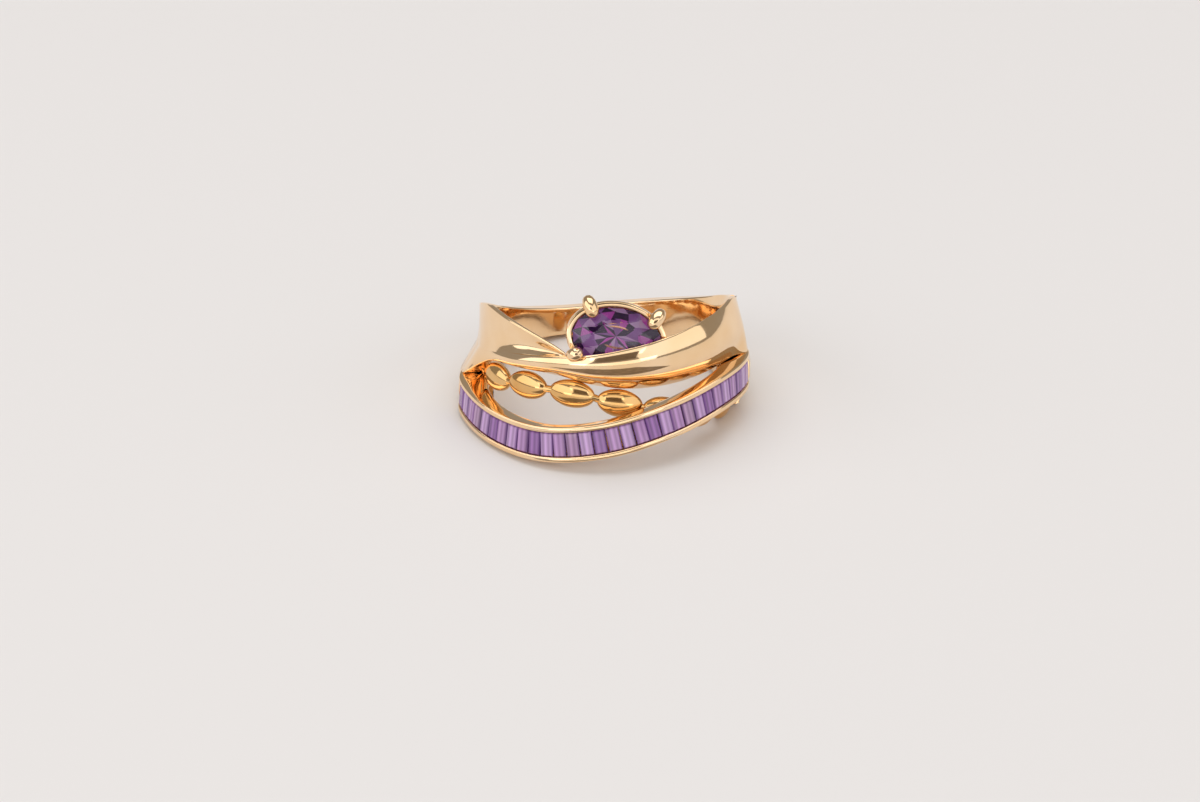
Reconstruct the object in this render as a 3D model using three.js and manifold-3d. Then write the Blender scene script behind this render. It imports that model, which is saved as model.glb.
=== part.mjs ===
// Cocktail ring in yellow gold: a woven crown of a sweeping ribbon, a leaf shoulder, a channel of
// purple baguettes and a row of gold beads, with one oval amethyst in a basket with claws.
// Millimetres, +Z up. The ring lies on the lower edge of its band with its crown towards -Y.
import * as THREE from 'three';
import { mergeVertices } from 'three/addons/utils/BufferGeometryUtils.js';
import Module from 'manifold-3d';

const wasm = await Module();
wasm.setup();

// The finger and how the ring lies. Stations below are angles round the finger in degrees:
// 0 is the middle of the crown, positive to the wearer's right, 180 the back of the band.
const FINGER_RADIUS = 8.65;
const REST_TILT = 16.5;
const SEAM = 0.04;
const BUTT_GAP = 1.1;

// Band: station, low edge, high edge, outer radius, height of the ridge that runs into the
// channel, where across the width that ridge lies, and how far the upper edge flares from the finger.
const SHANK = [
  [80, -4.05, 4.5, 10.0, 1.1, -1.35, 0.85],
  [90, -3.5, 4.05, 9.95, 1.05, -1.2, 0.7],
  [105, -2.82, 3.45, 9.95, 0.7, -0.9, 0.4],
  [120, -2.12, 2.85, 9.95, 0.4, -0.6, 0.15],
  [150, -1.12, 1.9, 9.95, 0.05, -0.2, 0],
  [180, -1.06, 1.25, 9.95, 0, 0, 0],
  [200, -1.04, 1.1, 9.95, 0, 0, 0],
  [222, -1.25, 1.45, 9.9, 0.1, -0.4, 0],
  [245, -2.05, 2.3, 9.7, 0.5, -1.3, 0.15],
  [262, -3.0, 3.2, 9.5, 1.3, -2.3, 0.35],
  [282, -4.15, 4.1, 9.42, 1.85, -3.0, 0.4],
];
const RIDGE_WIDTH = 1.9;

// Ribbon and leaf: station, low edge, high edge, outer radius at each, dome, inner radius at each.
const RIBBON = [
  [-76, -0.85, 0.8, 9.9, 9.5, 0, 8.7, 9.1],
  [-60, 0.05, 1.05, 9.95, 9.7, 0.1, 8.8, 9.05],
  [-40, 0.15, 1.3, 9.85, 10.25, 0.25, 8.8, 9.55],
  [-20, -0.1, 1.65, 9.65, 10.95, 0.45, 8.8, 10.25],
  [-5, -0.7, 1.97, 9.5, 11.4, 0.6, 8.8, 10.95],
  [10, -1.02, 2.5, 9.45, 11.55, 0.7, 8.8, 11.15],
  [25, -1.0, 3.1, 9.5, 11.4, 0.7, 8.8, 11.0],
  [45, -0.7, 3.83, 9.6, 10.85, 0.7, 8.75, 10.45],
  [62, -0.3, 4.27, 9.8, 10.35, 0.55, 8.7, 9.95],
  [71, 0.05, 4.45, 10.2, 10.15, 0.35, 8.7, 9.7],
  [79, 0.2, 4.5, 10.6, 10.0, 0.1, 8.7, 9.5],
];
const LEAF_TOP = [
  [-76, 4.1, 9.42, 0, 9.0],
  [-64, 4.27, 9.6, -0.1, 9.2],
  [-47, 3.75, 9.9, -0.25, 9.5],
  [-30, 2.98, 10.25, -0.28, 9.9],
  [-20, 2.36, 10.65, -0.2, 10.3],
  [-15.5, 2.0, 10.95, -0.05, 10.6],
];

// Channel: station, middle of the stones across the width, outer radius, inner radius.
const CHANNEL = [
  [-76, -2.95, 11.3, 8.8],
  [-66, -3.5, 11.35, 9.6],
  [-45, -4.5, 11.3, 10.05],
  [-24, -4.95, 11.3, 10.05],
  [0, -4.45, 11.3, 10.05],
  [26, -3.2, 11.3, 10.05],
  [51, -1.95, 11.3, 10.05],
  [66, -1.5, 11.25, 9.6],
  [79, -1.25, 11.1, 8.8],
];
const CHANNEL_RADIUS = 11.3;
const STONE_ROW_WIDTH = 1.84;
const RAIL_THICKNESS = 0.4;
const FLOOR_THICKNESS = 0.35;
const BAGUETTE_COUNT = 30;
const BAGUETTE_WIDTH = 0.95;
const BAGUETTE_DEPTH = 0.75;
const BAGUETTE_RECESS = 0.2;
const BAGUETTE_FIRST = -73;
const BAGUETTE_LAST = 74;

// Bead row: station and height of the wire, with the beads at BEAD_STATIONS.
const BEAD_ROW = [
  [-77, -1.2], [-55, -1.15], [-35, -1.15], [-14, -1.42], [7.5, -2.1],
  [27.5, -2.9], [48, -3.6], [68, -3.66], [81, -3.4],
];
const BEAD_STATIONS = [-58, -36.9, -14.6, 6.9, 27.3, 47.9, 68.6];
const BEAD_RADIUS_FROM_AXIS = 9.35;
const BEAD_LENGTH = 3.32;
const BEAD_HEIGHT = 2.1;
const BEAD_THICKNESS = 1.3;
const BEAD_WAIST = 0.42;
const WIRE_RADIUS = 0.28;
const WIRE_STRAIGHT_PAST_BEAD = 0.05;

// Oval amethyst and its basket, in the setting's own frame: x along the oval, z out of the crown.
const STONE_LENGTH = 6.6;
const STONE_WIDTH = 4.6;
const STONE_CROWN = 0.6;
const STONE_PAVILION = 1.5;
const GIRDLE = 0.12;
const SETTING_STATION = 5;
const SETTING_HEIGHT = 3.0;
const SETTING_RADIUS = 10.3;
const SETTING_TURN = -12;
const RIM_INSIDE = -0.75;
const RIM_OUTSIDE = 0.42;
const RIM_LOW = -0.62;
const RIM_HIGH = 0;
const BASE_INSIDE = -1.6;
const BASE_OUTSIDE = -1.0;
const BASE_LOW = -1.45;
const BASE_HIGH = -1.05;

// Claws: angle round the stone, and how far each bows out from the stone's edge. Their spine is
// given by the distance out from the edge and the rise.
const CLAWS = [[48, 1], [132, 1], [216, 0.55]];
const CLAW_RADIUS = 0.52;
const CLAW_SPINE = [[-1.1, -1.5], [-0.15, -0.8], [0.6, -0.15], [0.85, 0.35], [0.45, 0.78], [-0.35, 0.75]];

const GOLD = { color: 0xe2b565, metalness: 1, roughness: 0.12 };
const AMETHYST = { color: 0x6b2a8c, metalness: 0, roughness: 0.03 };
const LILAC = { color: 0xa58fd6, metalness: 0, roughness: 0.03 };

const radians = THREE.MathUtils.degToRad;
const mix = THREE.MathUtils.lerp;

// A smooth reading of a table of stations: track(table)(station) gives that station's values.
function track(table) {
  const size = table[0].length - 1;
  const stations = table.map((row) => row[0]);
  const values = table.flatMap((row) => row.slice(1));
  const spline = new THREE.CubicInterpolant(stations, values, size);
  return (station) => Array.from(spline.evaluate(station));
}

function aroundFinger(station, radius, height) {
  const angle = radians(station);
  return new THREE.Vector3(radius * Math.sin(angle), -radius * Math.cos(angle), height);
}

// A closed strand: place(along, across, through) gives the point for along 0 to 1 and a section
// that is a rounded rectangle, across and through running from -1 to 1.
function strand(sides, steps, squareness, place) {
  const geometry = welded(new THREE.CylinderGeometry(1, 1, 1, sides, steps));
  const spots = geometry.attributes.position;
  const power = (value) => Math.sign(value) * Math.abs(value) ** squareness;
  for (let i = 0; i < spots.count; i++) {
    const along = 0.5 - spots.getY(i);
    const spot = place(along, power(spots.getX(i)), power(spots.getZ(i)));
    spots.setXYZ(i, spot.x, spot.y, spot.z);
  }
  return facingOut(geometry);
}

// Position-only geometry with its shared corners merged.
function welded(geometry) {
  geometry.deleteAttribute('normal');
  geometry.deleteAttribute('uv');
  return mergeVertices(geometry, 1e-4);
}

function facingOut(geometry) {
  if (signedVolume(geometry) < 0) {
    geometry.index.array.reverse();
  }
  return geometry;
}

function signedVolume(geometry) {
  const spots = geometry.attributes.position;
  const order = geometry.index.array;
  const corner = (i) => new THREE.Vector3().fromBufferAttribute(spots, order[i]);
  let volume = 0;
  for (let i = 0; i < order.length; i += 3) {
    volume += corner(i).dot(corner(i + 1).cross(corner(i + 2))) / 6;
  }
  return volume;
}

function solid(geometry) {
  const mesh = new wasm.Mesh({
    numProp: 3,
    vertProperties: new Float32Array(geometry.attributes.position.array),
    triVerts: new Uint32Array(geometry.index.array),
  });
  return new wasm.Manifold(mesh);
}

// The geometry with every tool geometry cut away from it.
function cutBy(geometry, tools) {
  let body = solid(geometry);
  for (const tool of tools) {
    body = body.subtract(solid(tool));
  }
  const mesh = body.getMesh();
  const result = new THREE.BufferGeometry();
  result.setAttribute('position', new THREE.BufferAttribute(mesh.vertProperties, 3));
  result.setIndex(new THREE.BufferAttribute(mesh.triVerts, 1));
  return result;
}

function named(name, geometry, finish) {
  const mesh = new THREE.Mesh(geometry, new THREE.MeshStandardMaterial(finish));
  mesh.name = name;
  return mesh;
}

function shankGeometry() {
  const at = track(SHANK);
  const first = SHANK[0][0];
  const last = SHANK[SHANK.length - 1][0];
  return strand(16, 46, 0.55, (along, across, through) => {
    const station = mix(first, last, along);
    const [low, high, outer, ridge, ridgeHeight, flare] = at(station);
    const share = (across + 1) / 2;
    const height = mix(low, high, share);
    const lift = ridge / (1 + ((height - ridgeHeight) / RIDGE_WIDTH) ** 4);
    const radius = mix(FINGER_RADIUS + flare * share ** 3, outer + lift, (through + 1) / 2);
    return aroundFinger(station, radius, height);
  });
}

// Swell of a band across its width: fullest a third of the way up, and flat at the upper edge.
function swell(share) {
  return 6.75 * share * (1 - share) ** 2;
}

const ribbonAt = track(RIBBON);

function ribbonGeometry() {
  const first = RIBBON[0][0];
  const last = RIBBON[RIBBON.length - 1][0];
  return strand(14, 40, 0.5, (along, across, through) => {
    const station = mix(first, last, along);
    const [low, high, outLow, outHigh, dome, inLow, inHigh] = ribbonAt(station);
    const share = (across + 1) / 2;
    const outer = mix(outLow, outHigh, share) + dome * swell(share);
    const radius = mix(mix(inLow, inHigh, share), outer, (through + 1) / 2);
    return aroundFinger(station, radius, mix(low, high, share));
  });
}

function leafGeometry() {
  const at = track(LEAF_TOP);
  const first = LEAF_TOP[0][0];
  const last = LEAF_TOP[LEAF_TOP.length - 1][0];
  return strand(12, 20, 0.5, (along, across, through) => {
    const station = mix(first, last, along);
    const ribbon = ribbonAt(station);
    const [high, outHigh, dome, inHigh] = at(station);
    const share = (across + 1) / 2;
    const outer = mix(ribbon[3], outHigh, share) + dome * swell(share);
    const inner = mix(ribbon[6], inHigh, share);
    return aroundFinger(station, mix(inner, outer, (through + 1) / 2), mix(ribbon[1] + SEAM, high, share));
  });
}

const channelAt = track(CHANNEL);

// A point of the channel: offset runs across the row, square to its course.
function channelPoint(station, offset, radius) {
  const step = 0.5;
  const rise = channelAt(station + step)[0] - channelAt(station - step)[0];
  const slope = Math.atan2(rise, radians(2 * step) * CHANNEL_RADIUS);
  const turned = station - THREE.MathUtils.radToDeg((offset * Math.sin(slope)) / CHANNEL_RADIUS);
  return aroundFinger(turned, radius, channelAt(station)[0] + offset * Math.cos(slope));
}

function channelStrand(middle, halfWidth, radii) {
  const first = CHANNEL[0][0];
  const last = CHANNEL[CHANNEL.length - 1][0];
  return strand(8, 44, 0.3, (along, across, through) => {
    const station = mix(first, last, along);
    const [, outer, inner] = channelAt(station);
    const [low, high] = radii(outer, inner);
    return channelPoint(station, middle + across * halfWidth, mix(low, high, (through + 1) / 2));
  });
}

function railGeometry(side) {
  const middle = side * (STONE_ROW_WIDTH + RAIL_THICKNESS) / 2;
  return channelStrand(middle, RAIL_THICKNESS / 2, (outer, inner) => [inner, outer]);
}

function floorGeometry() {
  const half = STONE_ROW_WIDTH / 2 - SEAM;
  return channelStrand(0, half, (outer, inner) => {
    const top = outer - BAGUETTE_RECESS - BAGUETTE_DEPTH;
    return [Math.max(inner, top - FLOOR_THICKNESS), top];
  });
}

// A step-cut stone, long across the channel: x along the row, y across it, z outwards.
function baguetteGeometry() {
  const corner = Math.SQRT1_2;
  const profile = [[0, -1], [0.42, -0.92], [0.8, -0.5], [1, -0.1], [1, 0], [0.72, 0.2], [0, 0.2]];
  const points = profile.map(([reach, rise]) => new THREE.Vector2(reach / corner, rise));
  const geometry = welded(new THREE.LatheGeometry(points, 4));
  geometry.rotateY(Math.PI / 4);
  geometry.rotateX(Math.PI / 2);
  const length = STONE_ROW_WIDTH / 2 - SEAM;
  geometry.scale(BAGUETTE_WIDTH / 2, length, BAGUETTE_DEPTH / 1.2);
  return facingOut(geometry);
}

// A group whose x runs with the channel, y across it and z outwards, at the given station.
function channelSeat(station, radius) {
  const here = channelPoint(station, 0, radius);
  const along = channelPoint(station + 1, 0, radius).sub(here).normalize();
  const outwards = new THREE.Vector3(here.x, here.y, 0).normalize();
  const across = new THREE.Vector3().crossVectors(outwards, along).normalize();
  return seatAt(here, along, across);
}

function seatAt(origin, along, across) {
  const outwards = new THREE.Vector3().crossVectors(along, across);
  const seat = new THREE.Group();
  seat.position.copy(origin);
  seat.quaternion.setFromRotationMatrix(new THREE.Matrix4().makeBasis(along, across, outwards));
  return seat;
}

// Stations that share the channel out into equal lengths of its sloping course.
function evenStations(first, last, count) {
  const samples = 400;
  const lengths = [0];
  const station = (i) => mix(first, last, i / samples);
  for (let i = 1; i <= samples; i++) {
    const before = channelPoint(station(i - 1), 0, CHANNEL_RADIUS);
    lengths.push(lengths[i - 1] + before.distanceTo(channelPoint(station(i), 0, CHANNEL_RADIUS)));
  }
  const share = lengths[samples] / (count - 1);
  const stations = [];
  for (let k = 0; k < count; k++) {
    const i = lengths.findIndex((length) => length >= k * share - 1e-6);
    stations.push(station(i));
  }
  return stations;
}

function addBaguettes(ring) {
  evenStations(BAGUETTE_FIRST, BAGUETTE_LAST, BAGUETTE_COUNT).forEach((station, i) => {
    const seat = channelSeat(station, channelAt(station)[1] - BAGUETTE_RECESS);
    seat.add(named(`baguette_${String(i + 1).padStart(2, '0')}`, baguetteGeometry(), LILAC));
    ring.add(seat);
  });
}

const beadHeightAt = track(BEAD_ROW);

function wirePoint(station) {
  return aroundFinger(station, BEAD_RADIUS_FROM_AXIS, beadHeightAt(station)[0]);
}

function beadGeometry() {
  const half = BEAD_LENGTH / 2;
  const points = [new THREE.Vector2(0, -half)];
  const rings = 8;
  for (let i = 0; i <= rings; i++) {
    const place = Math.sin(mix(-Math.PI / 2, Math.PI / 2, i / rings));
    const reach = BEAD_WAIST + (BEAD_HEIGHT / 2 - BEAD_WAIST) * Math.sqrt(1 - place ** 2);
    points.push(new THREE.Vector2(reach, place * half));
  }
  points.push(new THREE.Vector2(0, half));
  const geometry = welded(new THREE.LatheGeometry(points, 12));
  geometry.rotateZ(-Math.PI / 2);
  geometry.scale(1, 1, BEAD_THICKNESS / BEAD_HEIGHT);
  const bore = welded(new THREE.CylinderGeometry(WIRE_RADIUS + SEAM, WIRE_RADIUS + SEAM, BEAD_LENGTH * 2, 10));
  bore.rotateZ(Math.PI / 2);
  return cutBy(facingOut(geometry), [facingOut(bore)]);
}

function beadSeat(station) {
  const here = wirePoint(station);
  const along = wirePoint(station + 4).sub(wirePoint(station - 4)).normalize();
  const outwards = new THREE.Vector3(here.x, here.y, 0).normalize();
  const across = new THREE.Vector3().crossVectors(outwards, along).normalize();
  return seatAt(here, along, across);
}

// The wire runs straight through each bead and turns between them.
function wireGeometry(seats) {
  const reach = BEAD_LENGTH / 2 + WIRE_STRAIGHT_PAST_BEAD;
  const ends = seats.flatMap((seat) => {
    const along = new THREE.Vector3(1, 0, 0).applyQuaternion(seat.quaternion);
    return [-reach, reach].map((offset) => seat.position.clone().addScaledVector(along, offset));
  });
  const first = BEAD_ROW[0][0] + BUTT_GAP;
  const last = BEAD_ROW[BEAD_ROW.length - 1][0] - BUTT_GAP;
  const corners = [wirePoint(first), ...ends, wirePoint(last)];
  return strand(8, corners.length - 1, 1, (along, across, through) => {
    const i = Math.round(along * (corners.length - 1));
    const before = corners[Math.max(i - 1, 0)];
    const after = corners[Math.min(i + 1, corners.length - 1)];
    const outwards = new THREE.Vector3(corners[i].x, corners[i].y, 0).normalize();
    const up = new THREE.Vector3().crossVectors(outwards, after.clone().sub(before)).normalize();
    return corners[i].clone()
      .addScaledVector(up, across * WIRE_RADIUS)
      .addScaledVector(outwards, through * WIRE_RADIUS);
  });
}

function addBeads(ring) {
  const seats = BEAD_STATIONS.map(beadSeat);
  seats.forEach((seat, i) => {
    seat.add(named(`bead_${i + 1}`, beadGeometry(), GOLD));
    ring.add(seat);
  });
  ring.add(named('bead_wire', wireGeometry(seats), GOLD));
}

// The oval amethyst, or with margin its clearance: a lathe drawn out to an oval.
function ovalStone(margin) {
  const profile = [
    [0, -STONE_PAVILION], [0.55, -0.72], [1, -GIRDLE / 2], [1, GIRDLE / 2],
    [0.8, STONE_CROWN * 0.55], [0.58, STONE_CROWN], [0, STONE_CROWN],
  ];
  const points = profile.map(([reach, rise]) => new THREE.Vector2(reach, rise + Math.sign(rise) * margin));
  const geometry = welded(new THREE.LatheGeometry(points, 20));
  geometry.rotateX(Math.PI / 2);
  geometry.scale(STONE_LENGTH / 2 + margin, STONE_WIDTH / 2 + margin, 1);
  return facingOut(geometry);
}

// An oval slab that reaches a distance out from the stone's own edge.
function ovalSlab(offset, low, high) {
  const outline = new THREE.Shape();
  outline.absellipse(0, 0, STONE_LENGTH / 2 + offset, STONE_WIDTH / 2 + offset, 0, 2 * Math.PI);
  const options = { depth: high - low, bevelEnabled: false, curveSegments: 36 };
  const geometry = welded(new THREE.ExtrudeGeometry(outline, options));
  geometry.translate(0, 0, low);
  return facingOut(geometry);
}

// A claw: up from the lower band, square to the stone's edge, and over the stone's shoulder.
function clawGeometry([angle, reach], radius) {
  const turn = radians(angle);
  const edge = new THREE.Vector3(STONE_LENGTH / 2 * Math.cos(turn), STONE_WIDTH / 2 * Math.sin(turn), 0);
  const away = new THREE.Vector3(Math.cos(turn) / STONE_LENGTH, Math.sin(turn) / STONE_WIDTH, 0).normalize();
  const sideways = new THREE.Vector3(-away.y, away.x, 0);
  const curve = new THREE.CatmullRomCurve3(CLAW_SPINE.map(([offset, rise]) => {
    const spot = edge.clone().addScaledVector(away, offset > 0 ? offset * reach : offset);
    return spot.setZ(rise);
  }));
  return strand(8, 8, 1, (along, across, through) => {
    const waist = mix(0.6, 1, THREE.MathUtils.smoothstep(along, 0.35, 0.7));
    const thickness = radius * waist * Math.sqrt(1 - Math.max(0, along - 0.8) ** 2 * 18);
    const inwards = new THREE.Vector3().crossVectors(sideways, curve.getTangentAt(along)).normalize();
    return curve.getPointAt(along)
      .addScaledVector(sideways, across * thickness)
      .addScaledVector(inwards, through * thickness);
  });
}

function settingMatrix() {
  const origin = aroundFinger(SETTING_STATION, SETTING_RADIUS, SETTING_HEIGHT);
  const outwards = new THREE.Vector3(origin.x, origin.y, 0).normalize();
  const across = new THREE.Vector3(0, 0, 1);
  const along = new THREE.Vector3().crossVectors(across, outwards).normalize();
  const seat = seatAt(origin, along, across);
  seat.rotateZ(radians(SETTING_TURN));
  seat.updateMatrix();
  return seat.matrix;
}

export default buildRing();

function buildRing() {
  const ring = new THREE.Group();
  ring.rotation.x = radians(-REST_TILT);
  addBands(ring);
  addBaguettes(ring);
  addBeads(ring);
  addSetting(ring);
  addShankOnFloor(ring);
  return ring;
}

// The bands leave room for the stone, the basket and its claws.
function addBands(ring) {
  const place = settingMatrix();
  const claws = CLAWS.map((claw) => clawGeometry(claw, CLAW_RADIUS + SEAM));
  const basket = ovalSlab(RIM_OUTSIDE + SEAM, BASE_LOW - SEAM, RIM_HIGH + SEAM);
  const room = [ovalStone(SEAM), basket, ...claws].map((geometry) => geometry.applyMatrix4(place));
  ring.add(named('ribbon_band', cutBy(ribbonGeometry(), room), GOLD));
  ring.add(named('left_leaf', cutBy(leafGeometry(), room), GOLD));
  ring.add(named('upper_rail', railGeometry(1), GOLD));
  ring.add(named('lower_rail', railGeometry(-1), GOLD));
  ring.add(named('channel_floor', floorGeometry(), GOLD));
}

function addSetting(ring) {
  const place = settingMatrix();
  const clawRooms = CLAWS.map((claw) => clawGeometry(claw, CLAW_RADIUS + SEAM));
  const band = (inside, outside, low, high) => cutBy(
    ovalSlab(outside, low, high),
    [ovalSlab(inside, low - 1, high + 1), ovalStone(SEAM), ...clawRooms],
  );
  const pieces = {
    centre_stone: ovalStone(0),
    gallery_rim: band(RIM_INSIDE, RIM_OUTSIDE, RIM_LOW, RIM_HIGH),
    basket_base: band(BASE_INSIDE, BASE_OUTSIDE, BASE_LOW, BASE_HIGH),
  };
  CLAWS.forEach((claw, i) => {
    pieces[`claw_${i + 1}`] = cutBy(clawGeometry(claw, CLAW_RADIUS), [ovalStone(SEAM)]);
  });
  for (const [name, geometry] of Object.entries(pieces)) {
    const finish = name === 'centre_stone' ? AMETHYST : GOLD;
    ring.add(named(name, geometry.applyMatrix4(place), finish));
  }
}

// The band is dressed flat where the ring lies on it, level with the lowest of the other pieces,
// and the ring is moved to stand over the middle of its outline.
function addShankOnFloor(ring) {
  ring.updateMatrixWorld(true);
  const floor = new THREE.Box3().setFromObject(ring, true).min.z;
  const depth = 10;
  const slab = welded(new THREE.BoxGeometry(60, 60, depth));
  slab.translate(0, 0, floor - depth / 2);
  slab.applyMatrix4(ring.matrixWorld.clone().invert());
  ring.add(named('shank', cutBy(shankGeometry(), [facingOut(slab)]), GOLD));
  const box = new THREE.Box3().setFromObject(ring, true);
  const middle = box.getCenter(new THREE.Vector3());
  ring.position.set(-middle.x, -middle.y, -box.min.z);
}
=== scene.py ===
"""Cocktail ring in polished yellow gold: ribbon and leaf bands, a channel of violet baguettes,
a row of gold beads and an oval amethyst in claws. Sizes in the tables are millimetres."""

from functools import lru_cache
from math import atan2, cos, degrees, hypot, pi, radians, sin

import bmesh
import bpy
import numpy as np
from mathutils import Matrix, Vector


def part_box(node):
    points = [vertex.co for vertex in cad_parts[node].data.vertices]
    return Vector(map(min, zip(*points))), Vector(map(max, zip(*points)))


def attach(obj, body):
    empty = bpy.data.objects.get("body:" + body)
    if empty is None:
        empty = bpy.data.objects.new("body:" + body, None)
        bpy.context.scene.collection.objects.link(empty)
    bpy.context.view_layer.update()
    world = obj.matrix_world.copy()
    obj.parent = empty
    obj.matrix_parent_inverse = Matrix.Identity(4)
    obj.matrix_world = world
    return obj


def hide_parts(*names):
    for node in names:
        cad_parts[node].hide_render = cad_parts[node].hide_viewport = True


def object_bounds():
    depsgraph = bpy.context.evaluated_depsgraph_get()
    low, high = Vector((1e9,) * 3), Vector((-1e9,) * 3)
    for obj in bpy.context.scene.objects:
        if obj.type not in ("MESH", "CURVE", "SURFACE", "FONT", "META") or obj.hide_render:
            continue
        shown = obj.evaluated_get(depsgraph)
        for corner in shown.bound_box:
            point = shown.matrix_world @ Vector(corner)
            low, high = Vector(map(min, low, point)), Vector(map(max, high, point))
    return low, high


bl_info = {
    "name": "Cocktail ring",
    "version": (1, 0, 0),
    "blender": (4, 5, 0),
    "location": "View3D > Sidebar > Cocktail ring",
    "description": "Builds a gold cocktail ring with baguettes, beads and an oval amethyst",
    "category": "Mesh",
}

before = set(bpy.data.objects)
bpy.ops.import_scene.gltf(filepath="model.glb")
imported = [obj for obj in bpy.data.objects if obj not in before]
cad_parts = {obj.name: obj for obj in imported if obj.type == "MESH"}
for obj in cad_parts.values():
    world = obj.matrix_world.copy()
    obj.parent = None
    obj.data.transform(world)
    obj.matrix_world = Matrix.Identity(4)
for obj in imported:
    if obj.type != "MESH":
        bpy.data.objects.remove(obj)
CAD_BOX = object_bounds()

MM = 0.001
BODY = "root"

# The ring lies tilted on the lower edge of its band. Stations are angles round the finger in
# degrees: 0 is the middle of the crown, which faces -Y, and 180 is the back of the band.
REST_TILT = Matrix.Rotation(radians(-16.5), 4, "X")
FINGER_RADIUS = 8.65
SEAM = 0.04
# Edges sharper than this stay sharp, and the others are smoothed.
SHARP_EDGE = radians(35)
# Most of a side that its rounded corners may take up.
FULLEST_ROUND = 0.98

# Band: station, low edge, high edge, outer radius, height of the ridge that runs into the
# channel, where across the width that ridge lies, and how far the upper edge flares.
SHANK = [
    (80, -4.05, 4.2, 10.0, 1.1, -1.35, 0.85),
    (90, -3.5, 3.9, 9.95, 1.05, -1.2, 0.7),
    (105, -2.82, 3.45, 9.95, 0.7, -0.9, 0.4),
    (120, -2.12, 2.85, 9.95, 0.4, -0.6, 0.15),
    (150, -1.12, 1.9, 9.95, 0.05, -0.2, 0),
    (180, -1.06, 1.25, 9.95, 0, 0, 0),
    (200, -1.04, 1.1, 9.95, 0, 0, 0),
    (222, -1.25, 1.45, 9.9, 0.1, -0.4, 0),
    (245, -2.05, 2.3, 9.7, 0.5, -1.3, 0.15),
    (262, -3.0, 3.1, 9.5, 1.3, -2.3, 0.35),
    (282, -4.1, 3.7, 9.36, 1.85, -3.0, 0.4),
]
RIDGE_WIDTH = 1.9
SHANK_THICKNESS = 1.3
SHANK_END_ROUND = 0.12

# Ribbon: station, low edge, high edge, outer radius at each, swell, inner radius at each. Leaf:
# station, high edge, its outer radius, hollow, its inner radius. Their ends sink into the band.
RIBBON = [
    (-94, -1.5, 0.5, 9.3, 9.3, 0, 8.75, 8.9),
    (-84, -1.6, 0.65, 10.75, 9.42, 0, 8.72, 9.0),
    (-77, -1.5, 0.8, 11.0, 9.5, 0, 8.7, 9.1),
    (-70, -0.7, 0.92, 10.4, 9.58, 0.02, 8.75, 9.08),
    (-60, 0.05, 1.05, 9.95, 9.7, 0.1, 8.8, 9.05),
    (-40, 0.15, 1.3, 9.85, 10.25, 0.25, 8.8, 9.55),
    (-20, -0.1, 1.65, 9.65, 10.95, 0.45, 8.8, 10.25),
    (-5, -0.7, 1.97, 9.5, 11.4, 0.6, 8.8, 10.95),
    (10, -1.02, 2.5, 9.45, 11.55, 0.7, 8.8, 11.15),
    (25, -1.0, 3.1, 9.5, 11.4, 0.7, 8.8, 11.0),
    (45, -0.7, 3.83, 9.6, 10.85, 0.7, 8.75, 10.45),
    (62, -0.3, 4.27, 9.8, 10.35, 0.55, 8.7, 9.95),
    (71, 0.03, 4.38, 10.3, 10.15, 0.35, 8.7, 9.7),
    (79, -0.05, 4.32, 10.95, 10.0, 0.1, 8.7, 9.5),
    (88, -0.2, 3.98, 10.5, 9.93, 0.02, 8.75, 9.45),
    (97, -0.3, 3.6, 9.8, 9.85, 0, 8.75, 9.3),
]
LEAF_TOP = [
    (-94, 3.15, 9.36, -0.03, 8.9),
    (-84, 3.6, 9.41, -0.06, 8.95),
    (-76, 3.9, 9.42, -0.1, 9.0),
    (-64, 4.15, 9.6, -0.14, 9.2),
    (-47, 3.75, 9.9, -0.3, 9.5),
    (-30, 2.98, 10.25, -0.42, 9.9),
    (-20, 2.36, 10.65, -0.3, 10.3),
    (-15.5, 2.0, 10.95, -0.05, 10.6),
]
# Between these stations the leaf parts from the ribbon: how far it laps over the ribbon's upper
# edge, and how far it lies below its face, at the first and at the second.
LEAF_PARTING = (-55, -35)
LEAF_LAP = (0.3, SEAM)
LEAF_SINK = (-0.003, 0.08)

# Ribbon across its width, from the lower edge up: its bulge as a share of the swell. Its face
# stands upright over the bulge, and a narrow lip leans back along the upper edge.
RIBBON_PROFILE = [
    (0, 0), (0.16, 0.72), (0.32, 1.22), (0.52, 1.3), (0.8, 0.56), (0.86, 0.33), (1, -0.36),
]
# Brings share * (1 - share) ** 2, the leaf's hollow, to 1 at its deepest.
HOLLOW_SCALE = 27 / 4
THINNEST_WALL = 0.12

# Channel: station, middle of the stones across the width, outer radius, inner radius.
CHANNEL = [
    (-88, -2.6, 10.5, 8.75),
    (-76, -2.95, 11.3, 8.8),
    (-66, -3.5, 11.35, 9.6),
    (-45, -4.5, 11.3, 10.05),
    (-24, -4.95, 11.3, 10.05),
    (0, -4.45, 11.3, 10.05),
    (26, -3.2, 11.3, 10.05),
    (51, -1.95, 11.3, 10.05),
    (66, -1.5, 11.25, 9.6),
    (79, -1.25, 11.1, 8.8),
    (92, -1.15, 10.5, 8.75),
]
CHANNEL_RADIUS = 11.3
STONE_ROW_WIDTH = 1.84
RAIL_THICKNESS = 0.4
FLOOR_THICKNESS = 0.35
BAGUETTE_COUNT = 30
BAGUETTE_DEPTH = 0.75
BAGUETTE_RECESS = 0.2
BAGUETTE_GIRDLE = 0.1
# Steps of the cut, from the girdle out: how far each goes in, and how far it rises.
BAGUETTE_CROWN = [(0.07, 0.07), (0.09, 0.05)]
BAGUETTE_PAVILION = [(0.08, 0.2), (0.13, 0.2), (0.12, 0.12)]
# Which tone the stones take, over and over along the row.
BAGUETTE_TONES = (0.1, 0.6, 0.35, 0.85, 0.6, 0.1, 0.35, 0.6, 0.35)
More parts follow.
